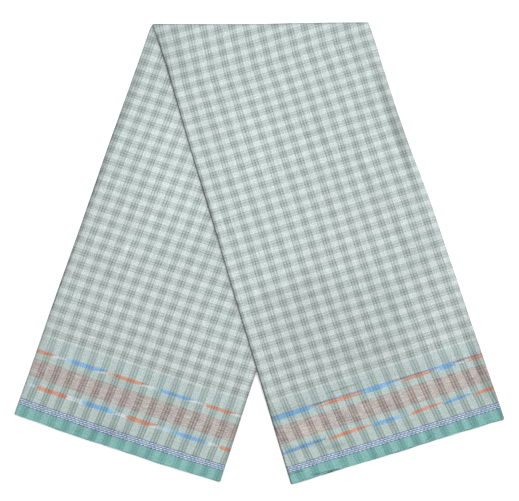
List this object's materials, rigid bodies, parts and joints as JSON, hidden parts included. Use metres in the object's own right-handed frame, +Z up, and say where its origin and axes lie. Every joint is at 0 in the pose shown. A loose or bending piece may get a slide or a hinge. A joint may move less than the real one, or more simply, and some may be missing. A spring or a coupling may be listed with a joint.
{
  "type": "lungi",
  "caption": "Cotton lungi with a fine check and woven ikat borders, folded lengthwise into a long strip and doubled over a level top fold into an upside-down V, lying flat.",
  "frame": {"origin": "on the floor under the middle of the folded cloth's bounding box", "axes": "+Z up from the floor, +Y from the selvage ends towards the top fold, +X from the under leg towards the over leg"},
  "size_m": [0.636, 0.6148, 0.0107],
  "materials": {
    "checked_cotton": "plain-woven cotton, pale mint and grey check, soft matte with a slight sheen",
    "inner_layers": "the same cotton seen edge on, matte"
  },
  "bodies": {
    "root": {"under_leg_cloth": "checked_cotton", "under_leg_layers": "inner_layers", "top_fold_cloth": "checked_cotton", "top_fold_layers": "inner_layers", "over_leg_cloth": "checked_cotton", "over_leg_layers": "inner_layers"}
  },
  "joints": []
}
